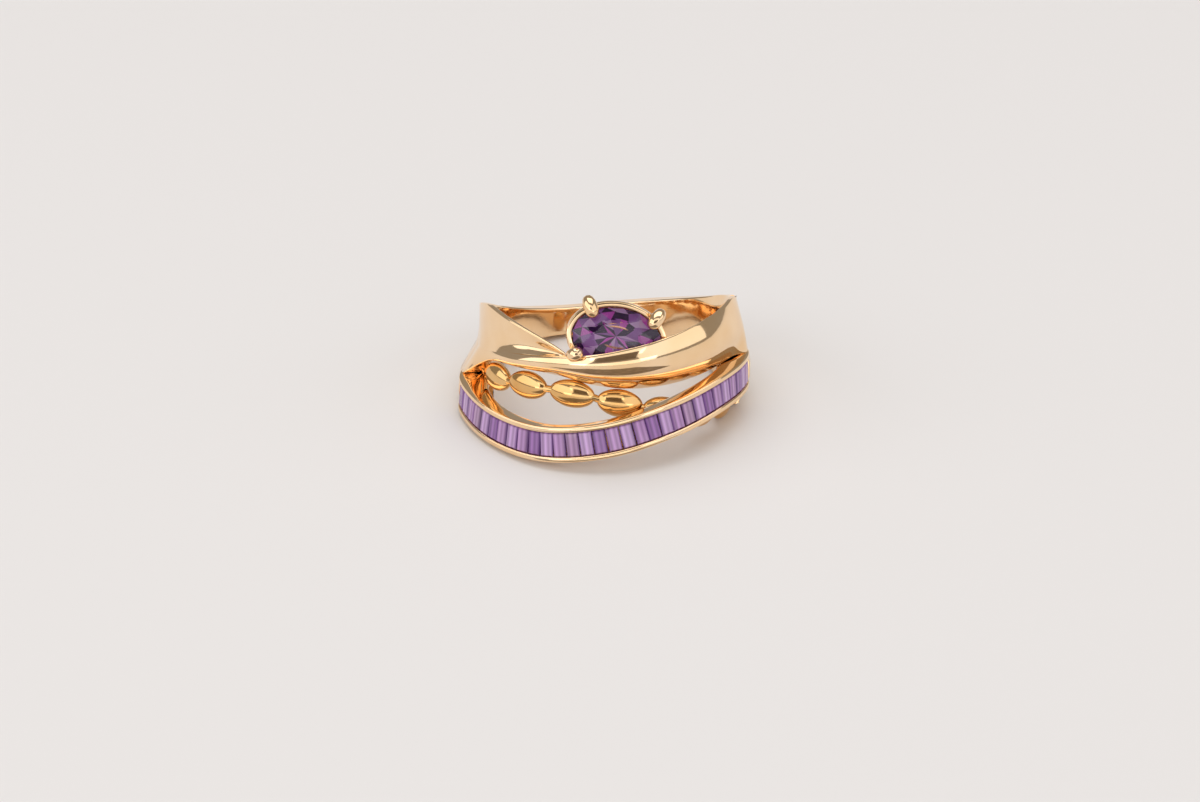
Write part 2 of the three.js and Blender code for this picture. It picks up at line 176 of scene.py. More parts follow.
# Stripes of painted reflection in the finish: half-widths of a stone to one pattern, where the
# stone's middle lies in it, and how far it shifts from stone to stone.
STRIPE_PATTERN = 2.6
STRIPE_MIDDLE = 0.4
STRIPE_SHIFT = 0.25
# Stops beyond the end stones: degrees from a stone's middle over which they rise, and how far
# below the rails' edges they lie.
STOP_REACH = (2.6, 3.2)
STOP_DEPTH = 0.12

# Bead row: station and height of the wire.
BEAD_ROW = [
    (-80, -1.2), (-55, -1.15), (-35, -1.15), (-14, -1.42), (7.5, -2.1), (27.5, -2.9),
    (48, -3.6), (68, -3.66), (84, -3.4),
]
BEAD_COUNT = 7
BEAD_RADIUS_FROM_AXIS = 9.35
MIDDLE_BEAD_STATION = 6.9
# Bead: its collars as a share of its full reach, how it tapers to them, and what counts as a pole.
BEAD_WAIST = 0.24
BEAD_TAPER = 1.3
BEAD_POLE = 0.01
WIRE_RADIUS = 0.28
# How far to either side of a bead's middle the wire runs straight.
WIRE_STRAIGHT = 1.71

# Oval amethyst and its basket, in the setting's own frame: x along the oval, z out of the crown.
STONE_HALF = (3.3, 2.3)
STONE_CROWN = 0.6
STONE_PAVILION = 1.5
GIRDLE = 0.12
TABLE_REACH = 0.58
STAR_REACH = 0.8
GOLDEN_SHARE = 0.618
SETTING_STATION = 5
SETTING_HEIGHT = 3.0
SETTING_RADIUS = 10.3
SETTING_TURN = -12
# Pocket that the ribbon's lip leaves over the stone: reach from the stone's middle, and rise.
POCKET_REACH = (TABLE_REACH, STAR_REACH, 1, 1.15)
POCKET_RISE = (0.66, 0.42, 0.12, 0.04)
# Claws: angle round the stone, and how far each bows out from the stone's edge.
CLAWS = ((48, 1), (132, 1), (216, 0.55))
CLAW_RADIUS = 0.52
# Share of that radius at a claw's leg, shares of its length between which it swells to the whole,
# share at which its tip begins, and how far the tip closes.
CLAW_LEG = 0.6
CLAW_SWELLS = (0.35, 0.7)
CLAW_HEAD = 0.86
CLAW_TIP = 0.97
# Spine of a claw: step, distance out from the stone's edge, rise.
CLAW_SPINE = [
    (0, -1.1, -1.5), (1, -0.15, -0.8), (2, 0.6, -0.15), (3, 0.85, 0.35), (4, 0.45, 0.78),
    (5, -0.35, 0.75),
]
# Sections of the basket's bands: distance out from the stone's edge, and rise.
RIM_SECTION = [
    (-0.55, -0.62), (0.3, -0.62), (0.4, -0.55), (0.42, -0.45), (0.42, -0.1), (0.39, -0.03),
    (0.32, 0.0), (0.1, 0.0), (0.05, -0.03), (0.02, -0.12), (-0.5, -0.55),
]
BASE_SECTION = [
    (-1.6, -1.4), (-1.55, -1.45), (-1.05, -1.45), (-1.0, -1.4), (-1.0, -1.1), (-1.05, -1.05),
    (-1.55, -1.05), (-1.6, -1.1),
]


def linear(code):
    """The linear colour, with alpha, of an sRGB hex value such as #ffe29b."""
    parts = [int(code[i : i + 2], 16) / 255 for i in (1, 3, 5)]
    return tuple(p / 12.92 if p <= 0.04045 else ((p + 0.055) / 1.055) ** 2.4 for p in parts) + (1,)


def mix(a, b, share):
    return a + (b - a) * share


def course(table):
    """Smooth reading of a table of stations: course(table)(station) gives that row's values."""
    rows = np.array(table, float)
    stations, values = rows[:, 0], rows[:, 1:]
    slopes = np.diff(values, axis=0) / np.diff(stations)[:, None]
    tangents = np.vstack([slopes[:1], (slopes[1:] + slopes[:-1]) / 2, slopes[-1:]])

    @lru_cache(maxsize=None)
    def at(station):
        i = int(np.clip(np.searchsorted(stations, station) - 1, 0, len(stations) - 2))
        span = stations[i + 1] - stations[i]
        t = (station - stations[i]) / span
        return (
            (2 * t**3 - 3 * t**2 + 1) * values[i]
            + (t**3 - 2 * t**2 + t) * span * tangents[i]
            + (3 * t**2 - 2 * t**3) * values[i + 1]
            + (t**3 - t**2) * span * tangents[i + 1]
        )

    return at


ribbon_at = course(RIBBON)
leaf_at = course(LEAF_TOP)
channel_at = course(CHANNEL)
bead_height_at = course(BEAD_ROW)
ribbon_profile = course(RIBBON_PROFILE)


def around_finger(station, radius, height):
    angle = radians(station)
    return Vector((radius * sin(angle), -radius * cos(angle), height))


def frame_of(origin, along, across):
    """Matrix of a seat whose x runs along, y across and z outwards."""
    outwards = along.cross(across)
    turn = Matrix((along, across, outwards)).transposed().to_4x4()
    return Matrix.Translation(origin) @ turn


def ring_placement():
    """Ring's own millimetres to the frame's metres, hung from the middle bead's CAD box."""
    low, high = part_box("bead_4")
    height = bead_height_at(MIDDLE_BEAD_STATION)[0]
    bead = around_finger(MIDDLE_BEAD_STATION, BEAD_RADIUS_FROM_AXIS, height) * MM
    origin = (low + high) / 2 - REST_TILT @ bead
    return Matrix.Translation(origin) @ REST_TILT @ Matrix.Scale(MM, 4)


PLACEMENT = ring_placement()


def station_of(node):
    """Where round the finger a CAD node stands."""
    low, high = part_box(node)
    spot = PLACEMENT.inverted() @ ((low + high) / 2)
    return degrees(atan2(spot.x, -spot.y))


# ---- shapes


def rounded_section(sides, reach_u, reach_v):
    """Points round a unit square with its corners rounded by reach_u and reach_v."""
    per_corner = sides // 4
    arc = per_corner // 2
    points = []
    for corner in range(4):
        start = corner * pi / 2
        cu, cv = ((1, 1), (-1, 1), (-1, -1), (1, -1))[corner]
        arcs = [
            (
                cu * (1 - reach_u) + reach_u * cos(start + pi / 2 * i / arc),
                cv * (1 - reach_v) + reach_v * sin(start + pi / 2 * i / arc),
            )
            for i in range(arc + 1)
        ]
        nu, nv = ((-1, 1), (-1, -1), (1, -1), (1, 1))[corner]
        towards = (
            nu * (1 - reach_u) + reach_u * cos(start + pi / 2),
            nv * (1 - reach_v) + reach_v * sin(start + pi / 2),
        )
        flat = per_corner - arc
        points += arcs + [
            (mix(arcs[-1][0], towards[0], i / flat), mix(arcs[-1][1], towards[1], i / flat))
            for i in range(1, flat)
        ]
    return points


def strand(first, last, steps, sides, corner, size, place, end_round=0.0):
    """A closed strand from station first to last, its corners rounded by corner and its ends by
    end_round. size(station) gives its width and thickness, and place(station, across, through)
    its points, with across and through from -1 to 1."""
    bm = bmesh.new()
    bmesh.ops.create_cone(bm, cap_ends=True, segments=sides, radius1=1, radius2=1, depth=2)
    risers = [e for e in bm.edges if abs(e.verts[0].co.z - e.verts[1].co.z) > 1]
    bmesh.ops.subdivide_edges(bm, edges=risers, cuts=steps - 1)
    sections = {}
    for vert in bm.verts:
        share = round((vert.co.z + 1) / 2 * steps) / steps
        station = mix(first, last, share)
        if station not in sections:
            width, thickness = size(station)
            reach = [min(FULLEST_ROUND, 2 * corner / full) for full in (width, thickness)]
            sections[station] = rounded_section(sides, *reach)
        number = round(atan2(vert.co.y, vert.co.x) / (2 * pi) * sides) % sides
        vert.co = place(station, *sections[station][number])
    if end_round:
        rims = list({e for f in bm.faces if len(f.verts) > 4 for e in f.edges})
        edging = {"offset": end_round, "segments": 3, "profile": 0.5, "material": -1}
        bmesh.ops.bevel(bm, geom=rims, affect="EDGES", **edging)
    bmesh.ops.recalc_face_normals(bm, faces=bm.faces)
    return bm


def rod(last, steps, place):
    """A closed strand of round section from 0 to last. place multiplies its unit radius."""
    return strand(0, last, steps, sides=24, corner=1, size=lambda station: (2, 2), place=place)


def setting_matrix():
    origin = around_finger(SETTING_STATION, SETTING_RADIUS, SETTING_HEIGHT)
    outwards = Vector((origin.x, origin.y, 0)).normalized()
    across = Vector((0, 0, 1))
    seat = frame_of(origin, across.cross(outwards), across)
    return seat @ Matrix.Rotation(radians(SETTING_TURN), 4, "Z")


SETTING = setting_matrix()


def under_lip(station, height):
    """Radius of the pocket that a band leaves over the oval stone, or 0 away from it."""
    middle = SETTING_RADIUS + STONE_CROWN / 2
    spot = SETTING.inverted() @ around_finger(station, middle, height)
    reach = hypot(spot.x / STONE_HALF[0], spot.y / STONE_HALF[1])
    if reach > POCKET_REACH[-1]:
        return 0
    return SETTING_RADIUS + float(np.interp(reach, POCKET_REACH, POCKET_RISE))


def bulge(dome, share):
    """How far a band stands out across its width: the ribbon by its profile, the leaf hollow and
    deepest a third of the way up."""
    if dome > 0:
        return dome * ribbon_profile(share)[0]
    return dome * HOLLOW_SCALE * share * (1 - share) ** 2


def band_point(station, values, across, through):
    low, high, out_low, out_high, dome, in_low, in_high = values
    share = (across + 1) / 2
    height = mix(low, high, share)
    outer = mix(out_low, out_high, share) + bulge(dome, share)
    inner = max(mix(in_low, in_high, share), under_lip(station, height))
    inner = min(inner, outer - THINNEST_WALL)
    return around_finger(station, mix(inner, outer, (through + 1) / 2), height)


def band_size(values):
    low, high, out_low, out_high, _, in_low, in_high = values
    return high - low, (out_low + out_high - in_low - in_high) / 2


def leaf_values(station):
    """The leaf grows out of the ribbon: flush with it on the left, and slipping behind its edge
    towards the tip."""
    ribbon_low, ribbon_high, out_low, out_high, dome, _, inner = ribbon_at(station)
    lap = np.interp(station, LEAF_PARTING, LEAF_LAP)
    sink = np.interp(station, LEAF_PARTING, LEAF_SINK)
    share = 1 - lap / (ribbon_high - ribbon_low)
    foot = mix(out_low, out_high, share) + bulge(dome, share) - sink
    high, out_top, hollow, in_high = leaf_at(station)
    return ribbon_high - lap, high, foot, out_top, hollow, inner, in_high


def shank_point(at, station, across, through):
    low, high, outer, ridge, ridge_height, flare = at(station)
    share = (across + 1) / 2
    height = mix(low, high, share)
    lift = ridge / (1 + ((height - ridge_height) / RIDGE_WIDTH) ** 4)
    inner = FINGER_RADIUS + flare * share**3
    return around_finger(station, mix(inner, outer + lift, (through + 1) / 2), height)


def channel_point(station, offset, radius):
    """A point of the channel: offset runs across the row, square to its course."""
    step = 0.5
    rise = channel_at(station + step)[0] - channel_at(station - step)[0]
    slope = atan2(rise, radians(2 * step) * CHANNEL_RADIUS)
    turned = station - degrees(offset * sin(slope) / CHANNEL_RADIUS)
    return around_finger(turned, radius, channel_at(station)[0] + offset * cos(slope))


def channel_strand(middle, half_width, radii, corner):
    """A strand along the channel, a degree inside its table, whose course is read to either side
    of a station. radii gives its inner and outer radius."""
    first, last = CHANNEL[0][0] + 1, CHANNEL[-1][0] - 1

    def size(station):
        low, high = radii(station, *channel_at(station)[1:])
        return 2 * half_width, high - low

    def place(station, across, through):
        low, high = radii(station, *channel_at(station)[1:])
        radius = mix(low, high, (through + 1) / 2)
        return channel_point(station, middle + across * half_width, radius)

    return strand(first, last, steps=180, sides=24, corner=corner, size=size, place=place)


def channel_seat(station, radius):
    here = channel_point(station, 0, radius)
    along = (channel_point(station + 1, 0, radius) - here).normalized()
    outwards = Vector((here.x, here.y, 0)).normalized()
    across = outwards.cross(along).normalized()
    return frame_of(here, along, across)


def step_cut(width, length):
    """A step-cut baguette: girdle slab, two crown steps to the table, three pavilion steps."""
    bm = bmesh.new()
    bmesh.ops.create_cube(bm, size=1)
    bmesh.ops.scale(bm, vec=(width, length, BAGUETTE_GIRDLE), verts=bm.verts)
    bmesh.ops.translate(bm, vec=(0, 0, -BAGUETTE_GIRDLE / 2), verts=bm.verts)
    for up, steps in ((1, BAGUETTE_CROWN), (-1, BAGUETTE_PAVILION)):
        for inset, rise in steps:
            bm.faces.ensure_lookup_table()
            face = max(bm.faces, key=lambda f: f.calc_center_median().z * up)
            bmesh.ops.inset_individual(bm, faces=[face], thickness=inset, depth=rise)
    bmesh.ops.recalc_face_normals(bm, faces=bm.faces)
    return bm


def wire_point(station):
    return around_finger(station, BEAD_RADIUS_FROM_AXIS, bead_height_at(station)[0])


def bead_seat(station):
    here = wire_point(station)
    chord = 4
    along = (wire_point(station + chord) - wire_point(station - chord)).normalized()
    outwards = Vector((here.x, here.y, 0)).normalized()
    return frame_of(here, along, outwards.cross(along).normalized())


def oval_bead(length, height, thickness):
    """An oval bead, its poles drawn out to small flat collars that meet its neighbours."""
    bm = bmesh.new()
    bmesh.ops.create_uvsphere(bm, u_segments=48, v_segments=30, radius=1)
    for vert in bm.verts:
        reach = hypot(vert.co.x, vert.co.y)
        if reach > BEAD_POLE:
            full = BEAD_WAIST + (1 - BEAD_WAIST) * reach**BEAD_TAPER
            vert.co.x *= full / reach
            vert.co.y *= full / reach
    bmesh.ops.rotate(bm, matrix=Matrix.Rotation(pi / 2, 3, "Y"), verts=bm.verts)
    bmesh.ops.scale(bm, vec=(length / 2, height / 2, thickness / 2), verts=bm.verts)
    return bm


def oval_brilliant():
    """Oval brilliant cut: table, stars, kites and girdle, over three rows of pavilion facets."""
    bm = bmesh.new()
    half_girdle = GIRDLE / 2
    lean = cos(pi / 8)
    star_drop = (STONE_CROWN - half_girdle) * (STAR_REACH * lean - TABLE_REACH) / (1 - TABLE_REACH)
    # Each ring of corners: how many, reach from the middle, rise and turn.
    rings = [
        (8, TABLE_REACH, STONE_CROWN, 0),
        (8, STAR_REACH, STONE_CROWN - star_drop, pi / 8),
        (16, 1, half_girdle, 0),
        (16, 1, -half_girdle, 0),
        (16, 0.78, -0.48, pi / 16),
        (16, 0.5, -0.9, 0),
        (8, 0.22, -1.25, pi / 8),
    ]
    for points, reach, rise, turn in rings:
        place = Matrix.Translation((0, 0, rise)) @ Matrix.Rotation(turn, 4, "Z")
        bmesh.ops.create_circle(bm, segments=points, radius=reach, matrix=place)
    bm.verts.new((0, 0, -STONE_PAVILION))
    bmesh.ops.delete(bm, geom=list(bm.edges), context="EDGES_FACES")
    bmesh.ops.convex_hull(bm, input=list(bm.verts))
    verts, edges = list(bm.verts), list(bm.edges)
    bmesh.ops.dissolve_limit(bm, angle_limit=radians(0.5), verts=verts, edges=edges)
    bmesh.ops.scale(bm, vec=(*STONE_HALF, 1), verts=bm.verts)
    bmesh.ops.recalc_face_normals(bm, faces=bm.faces)
    # Each pavilion facet gets its own tone, a painted internal reflection from dark to bright, and
    # the pavilion its own finish.
    tone = bm.faces.layers.float.new("painted_flash_tone")
    pavilion = [f for f in bm.faces if f.calc_center_median().z < -half_girdle]
    pavilion.sort(key=lambda f: (round(f.calc_center_median().z, 2), facet_angle(f)))
    for i, facet in enumerate(pavilion):
        facet.material_index = 1
        facet[tone] = i * GOLDEN_SHARE % 1
    return bm


def facet_angle(facet):
    centre = facet.calc_center_median()
    return round(atan2(centre.y, centre.x), 3)


def oval_spot(offset, angle, rise):
    """A point a distance out from the oval stone's own edge."""
    return Vector(
        ((STONE_HALF[0] + offset) * cos(angle), (STONE_HALF[1] + offset) * sin(angle), rise)
    )


def oval_band(section):
    """A band of the basket: its section spun round and drawn out to the stone's oval."""
    bm = bmesh.new()
    hub = 10
    verts = [bm.verts.new((hub + offset, 0, rise)) for offset, rise in section]
    edges = [bm.edges.new((a, b)) for a, b in zip(verts, verts[1:] + verts[:1])]
    turns = {"cent": (0, 0, 0), "axis": (0, 0, 1), "angle": 2 * pi, "steps": 96}
    bmesh.ops.spin(bm, geom=verts + edges, use_merge=True, **turns)
    for vert in bm.verts:
        offset = hypot(vert.co.x, vert.co.y) - hub
        vert.co = oval_spot(offset, atan2(vert.co.y, vert.co.x), vert.co.z)
    bmesh.ops.recalc_face_normals(bm, faces=bm.faces)
    return bm


def claw(angle, bow):
    """A claw: up from the lower band, square to the stone's edge, and over its shoulder."""
    spine = course(CLAW_SPINE)
    turn = radians(angle)
    edge = oval_spot(0, turn, 0)
    away = Vector((cos(turn) / STONE_HALF[0], sin(turn) / STONE_HALF[1], 0)).normalized()
    sideways = Vector((-away.y, away.x, 0))
    last = CLAW_SPINE[-1][0]

    def spot(station):
        offset, rise = spine(station)
        return edge + away * (offset * bow if offset > 0 else offset) + Vector((0, 0, rise))

    def place(station, across, through):
        step = 0.05
        travel = spot(station + step) - spot(station - step)
        inwards = sideways.cross(travel).normalized()
        along = station / last
        waist = mix(CLAW_LEG, 1, float(np.interp(along, CLAW_SWELLS, (0, 1))))
        head = CLAW_TIP * max(0.0, (along - CLAW_HEAD) / (1 - CLAW_HEAD))
        radius = CLAW_RADIUS * waist * (1 - head**2) ** 0.5
        return spot(station) + sideways * across * radius + inwards * through * radius

    return rod(last, 60, place)


def bead_wire(stations):
    """The wire: straight through each bead, turning between them."""
    spots = [wire_point(BEAD_ROW[0][0])]
    for station in stations:
        seat = bead_seat(station)
        spots += [seat @ Vector((side * WIRE_STRAIGHT, 0, 0)) for side in (-1, 1)]
    spots.append(wire_point(BEAD_ROW[-1][0]))

    def place(number, across, through):
        i = round(number)
        travel = spots[min(i + 1, len(spots) - 1)] - spots[max(i - 1, 0)]
        outwards = Vector((spots[i].x, spots[i].y, 0)).normalized()
        up = outwards.cross(travel).normalized()
        return spots[i] + up * across * WIRE_RADIUS + outwards * through * WIRE_RADIUS

    ends = len(spots) - 1
    return rod(ends, ends, place)


def add_object(name, bm, material):
    """Makes an object of a shape and its finish, and links it to the scene."""
    mesh = bpy.data.meshes.new(name)
    bm.to_mesh(mesh)
    bm.free()
    mesh.materials.append(material)
    made = bpy.data.objects.new(name, mesh)
    bpy.context.scene.collection.objects.link(made)
    return made


def add_piece(name, bm, material, nodes, flat=False):
    """Turns a shape's faces outwards, places it from the ring's millimetres, flattens what would
    sink into the floor and hangs it on its body."""
    if bm.calc_volume(signed=True) < 0:
        bmesh.ops.reverse_faces(bm, faces=bm.faces)
    bmesh.ops.transform(bm, matrix=PLACEMENT, verts=bm.verts)
    for vert in bm.verts:
        vert.co.z = max(vert.co.z, CAD_BOX[0].z)
    piece = add_object(name, bm, material)
    if flat:
        piece.data.shade_flat()
    else:
        piece.data.shade_smooth()
        piece.data.set_sharp_from_angle(angle=SHARP_EDGE)
    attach(piece, BODY)
    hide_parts(*nodes)
    return piece


# ---- finishes


def add_node(tree, kind, values=None, links=None, stops=(), stepped=False, **settings):
    """Adds a node with its settings, the values of its sockets, what feeds them, and the
    (position, colour) stops of a ramp."""
    node = tree.nodes.new(kind)
    for key, value in settings.items():
        setattr(node, key, value)
    if stops:
        node.color_ramp.interpolation = "CONSTANT" if stepped else "LINEAR"
        elements = node.color_ramp.elements
        while len(elements) < len(stops):
            elements.new(1)
        for element, (position, colour) in zip(elements, stops):
            element.position, element.color = position, colour
    for key, value in (values or {}).items():
        node.inputs[key].default_value = value
    for key, source in (links or {}).items():
        tree.links.new(source, node.inputs[key])
    return node


def new_finish(name):
    """An empty material and its node tree, or the material and None where it is already made."""
    made = bpy.data.materials.get(name)
    if made is not None:
        return made, None
    made = bpy.data.materials.new(name)
    made.use_nodes = True
    made.node_tree.nodes.clear()
    return made, made.node_tree


def per_metre(millimetres):
    """Noise scale that gives features of this size on object coordinates in metres."""
    return 1 / (millimetres * MM)


def gold_finish(name, bright, worn, smooth, rough, ripple, grain):
    """Gold: colour drifts between two alloy tones, roughness follows the polishing marks, which
    lie grain millimetres apart, and waves ripple millimetres high bend the reflections."""
    made, tree = new_finish(name)
    if tree is None:
        return made
    spot = add_node(tree, "ShaderNodeTexCoord").outputs["Object"]
    # Tone drifts over 3 mm, the size of a polishing wheel's touch.
    drift = add_node(
        tree, "ShaderNodeTexNoise", {"Scale": per_metre(3), "Detail": 2}, {"Vector": spot}
    ).outputs["Fac"]
    colour = add_node(
        tree, "ShaderNodeValToRGB", None, {"Fac": drift}, [(0.35, bright), (0.7, worn)]
    )
    # Polishing marks, drawn coarser than real ones so that they show.
    marks = add_node(
        tree,
        "ShaderNodeTexNoise",
        {"Scale": per_metre(grain), "Detail": 5, "Roughness": 0.6},
        {"Vector": spot},
    ).outputs["Fac"]
    gloss = add_node(
        tree,
        "ShaderNodeMapRange",
        {"From Min": 0.35, "From Max": 0.7, "To Min": smooth, "To Max": rough},
        {"Value": marks},
    ).outputs["Result"]
    # Waves of the hand polishing, 1.6 mm long.
    swell = add_node(
        tree, "ShaderNodeTexNoise", {"Scale": per_metre(1.6), "Detail": 1}, {"Vector": spot}
    ).outputs["Fac"]
    depth = {"Strength": 0.25, "Distance": ripple * 0.05 * MM}
    fine = add_node(tree, "ShaderNodeBump", depth, {"Height": marks}).outputs["Normal"]
    depth = {"Strength": 0.5, "Distance": ripple * MM}
    heights = {"Height": swell, "Normal": fine}
    bent = add_node(tree, "ShaderNodeBump", depth, heights).outputs["Normal"]
    shader = add_node(
        tree,
        "ShaderNodeBsdfPrincipled",
        {"Metallic": 1},
        {"Base Color": colour.outputs["Color"], "Roughness": gloss, "Normal": bent},
    )
    add_node(tree, "ShaderNodeOutputMaterial", None, {"Surface": shader.outputs["BSDF"]})
    return made


def baguette_finish(ring):
    """Lilac quartz, step cut and polished: painted stripes of light and dark run the length of each
    stone in place of the reflections of the pavilion's steps, painted shade darkens its ends, and
    stones differ in tone."""
    made, tree = new_finish("step_cut_lilac_quartz")
    if tree is None:
        return made
    cut = add_node(tree, "ShaderNodeAttribute", attribute_name="cut").outputs["Vector"]
    parts = add_node(tree, "ShaderNodeSeparateXYZ", None, {"Vector": cut}).outputs
    # Painted reflections of the pavilion's steps: light and dark stripes 0.1 to 0.15 mm apart, a
    # seventh of the stone's width.
    greys = zip((0, 0.1, 0.27, 0.42, 0.6, 0.74, 0.92), (0.5, 1.1, 0.62, 1.5, 0.72, 1.2, 0.55))
    bars = [(spot, (grey, grey, grey, 1)) for spot, grey in greys]
    painted_reflection_stripes = add_node(tree, "ShaderNodeValToRGB", None, {"Fac": parts["X"]}, bars).outputs["Color"]
    # Painted shade: each stone darkens to a deeper violet towards its ends.
    ends = add_node(
        tree,
        "ShaderNodeValToRGB",
        None,
        {"Fac": parts["Y"]},
        [(0.72, linear("#ffffff")), (0.82, linear("#cdb0d8")), (1, linear("#a684c4"))],
    ).outputs["Color"]
    tones = add_node(
        tree,
        "ShaderNodeValToRGB",
        None,
        {"Fac": parts["Z"]},
        [(0, ring.plum), (0.25, ring.violet), (0.5, ring.lavender), (0.75, ring.smoke)],
        stepped=True,
    ).outputs["Color"]
    striped = add_node(
        tree,
        "ShaderNodeMix",
        {"Factor": 0.8},
        {6: tones, 7: painted_reflection_stripes},
        data_type="RGBA",
        blend_type="MULTIPLY",
    ).outputs[2]
    colour = add_node(
        tree,
        "ShaderNodeMix",
        {"Factor": 1},
        {6: striped, 7: ends},
        data_type="RGBA",
        blend_type="MULTIPLY",
    ).outputs[2]
    shader = add_node(
        tree,
        "ShaderNodeBsdfPrincipled",
        {"Roughness": 0.02, "IOR": 1.544, "Transmission Weight": 0.12},
        {"Base Color": colour},
    )
    add_node(tree, "ShaderNodeOutputMaterial", None, {"Surface": shader.outputs["BSDF"]})
    return made


def amethyst_crown_finish(ring):
    """Amethyst, cut and polished: clear violet glass to the eye, with growth zones in its tint."""
    made, tree = new_finish("faceted_amethyst")
    if tree is None:
        return made
    spot = add_node(tree, "ShaderNodeTexCoord").outputs["Object"]
    # Growth zones of the crystal, 2.5 mm wide.
    zones = add_node(
        tree, "ShaderNodeTexNoise", {"Scale": per_metre(2.5), "Detail": 1}, {"Vector": spot}
    ).outputs["Fac"]
    colour = add_node(
        tree,
        "ShaderNodeValToRGB",
        None,
        {"Fac": zones},
        [(0.4, ring.amethyst_clear), (0.62, ring.amethyst_light)],
    ).outputs["Color"]
    shader = add_node(
        tree,
        "ShaderNodeBsdfPrincipled",
        {"Roughness": 0.0, "IOR": 1.544, "Transmission Weight": 1.0},
        {"Base Color": colour},
    )
    add_node(tree, "ShaderNodeOutputMaterial", None, {"Surface": shader.outputs["BSDF"]})
    return made


def amethyst_pavilion_finish(ring):
    """The polished back facets of the amethyst: each is painted with its own internal reflection,
    from plum shade through violet to a few flashes of magenta and pale lilac."""
    made, tree = new_finish("faceted_amethyst_back")
    if tree is None:
        return made
    tone = add_node(tree, "ShaderNodeAttribute", attribute_name="painted_flash_tone").outputs["Fac"]
    # Painted internal reflections: facet tones run from plum shade through violet to magenta and
    # pale lilac flashes.
    colour = add_node(
        tree,
        "ShaderNodeValToRGB",
        None,
        {"Fac": tone},
        [
            (0, ring.amethyst_deep), (0.26, ring.amethyst_mid), (0.48, ring.amethyst_deep),
            (0.6, ring.amethyst_flash), (0.74, ring.amethyst_mid), (0.84, ring.amethyst_light),
        ],
        stepped=True,
    ).outputs["Color"]
    shader = add_node(
        tree, "ShaderNodeBsdfPrincipled", {"Roughness": 0.05, "IOR": 1.544}, {"Base Color": colour}
    )
    add_node(tree, "ShaderNodeOutputMaterial", None, {"Surface": shader.outputs["BSDF"]})
    return made


def table_top_finish(tone):
    """White board rolled with dead matt paint: even, without a sheen, a trace of the roller."""
    made, tree = new_finish("rolled_white_paint")
    if tree is None:
        return made
    spot = add_node(tree, "ShaderNodeTexCoord").outputs["Object"]
    # Roller texture, 1.2 mm apart.
    stipple = add_node(
        tree, "ShaderNodeTexNoise", {"Scale": per_metre(1.2), "Detail": 2}, {"Vector": spot}
    ).outputs["Fac"]
    bump = add_node(
        tree, "ShaderNodeBump", {"Strength": 0.1, "Distance": 0.02 * MM}, {"Height": stipple}
    ).outputs["Normal"]
    shader = add_node(
        tree,
        "ShaderNodeBsdfPrincipled",
        {"Base Color": tone, "Roughness": 0.9, "Specular IOR Level": 0},
        {"Normal": bump},
    )
    add_node(tree, "ShaderNodeOutputMaterial", None, {"Surface": shader.outputs["BSDF"]})
    return made


def reflection_card_finish(tone):
    """Grey felt-faced card, seen only in the gold's reflections, which it paints dark: dull, with
    the fibres of the felt.
    """
    made, tree = new_finish("painted_reflection_felt_card")
    if tree is None:
        return made
    spot = add_node(tree, "ShaderNodeTexCoord").outputs["Object"]
    # Tufts of the felt, 2 mm apart.
    felt = add_node(
        tree, "ShaderNodeTexNoise", {"Scale": per_metre(2), "Detail": 4}, {"Vector": spot}
    ).outputs["Fac"]
    # Between the tufts the card is darker.
    shade = 0.6
    dark = (*(part * shade for part in tone[:3]), 1)
    colour = add_node(
        tree, "ShaderNodeValToRGB", None, {"Fac": felt}, [(0.35, dark), (0.65, tone)]
    ).outputs["Color"]
    shader = add_node(
        tree, "ShaderNodeBsdfPrincipled", {"Roughness": 0.9}, {"Base Color": colour}
    )
    add_node(tree, "ShaderNodeOutputMaterial", None, {"Surface": shader.outputs["BSDF"]})
    return made


def polished_gold(ring):
    """18 carat yellow gold, cast and mirror polished: pale where it faces the light, orange where
    it reflects itself."""
    smooth, rough = ring.polish, ring.polish + 0.05
    return gold_finish(
        "mirror_polished_yellow_gold", ring.gold_bright, ring.gold_worn, smooth, rough, 0.012, 0.15
    )


def shaded_bead_gold(ring):
    """Beads of the same gold, tumbled rather than buffed: a slightly softer shine, and a warmer,
    darker colour painted as the beads' shade.
    """
    smooth, rough = ring.polish + 0.02, ring.polish + 0.1
    return gold_finish(
        "tumbled_yellow_gold_painted_shade", ring.gold_beads_shaded, ring.gold_recess_shade, smooth, rough, 0.02, 0.2
    )


def shaded_recess_gold(ring):
    """The same gold as cast, where no wheel reaches: softer and slightly grainy, its colour
    deepened to orange as painted shade of the recesses.
    """
    return gold_finish(
        "as_cast_yellow_gold_painted_shade", ring.gold_worn, ring.gold_recess_shade, 0.2, 0.38, 0.02, 0.25
    )


# ---- settings


def length_setting(name, description, default):
    return bpy.props.FloatProperty(
        name=name, description=description, default=default, min=0, unit="LENGTH"
    )


def colour_setting(name, description, code):
    return bpy.props.FloatVectorProperty(
        name=name,
        description=description,
        subtype="COLOR",
        size=4,
        min=0,
        max=1,
        default=linear(code),
    )


